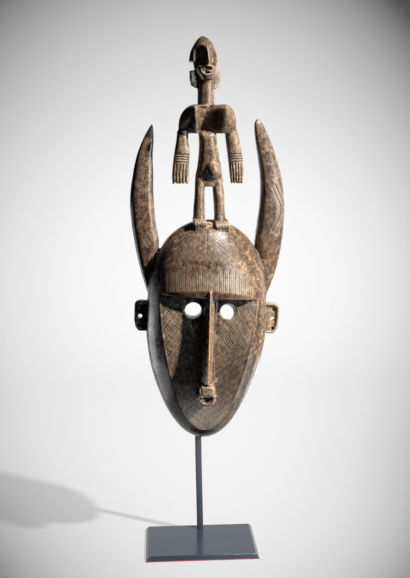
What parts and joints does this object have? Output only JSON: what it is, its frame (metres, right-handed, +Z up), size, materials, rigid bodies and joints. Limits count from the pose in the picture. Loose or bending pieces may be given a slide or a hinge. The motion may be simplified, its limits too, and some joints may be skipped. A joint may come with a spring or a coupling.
{
  "type": "ntomo mask",
  "caption": "Carved wooden ntomo mask with tall horns, pierced ears, long blade nose and a standing figure on the crown, shown on a rod and flat plate.",
  "frame": {"origin": "middle of the underside of the stand", "axes": "+Z up along the height, -Y the way the face looks, +X to the right of someone who looks at the face"},
  "size_m": [0.2329, 0.13, 0.7857],
  "materials": {
    "carved_wood": "dark hand-rubbed patina, semi-gloss",
    "plate_metal": "satin",
    "rod_metal": "satin",
    "felt": "matte"
  },
  "bodies": {
    "root": {"mask": "carved_wood", "stand_base_plate": "plate_metal", "stand_rod": "rod_metal", "stand_felt": "felt"}
  },
  "joints": []
}
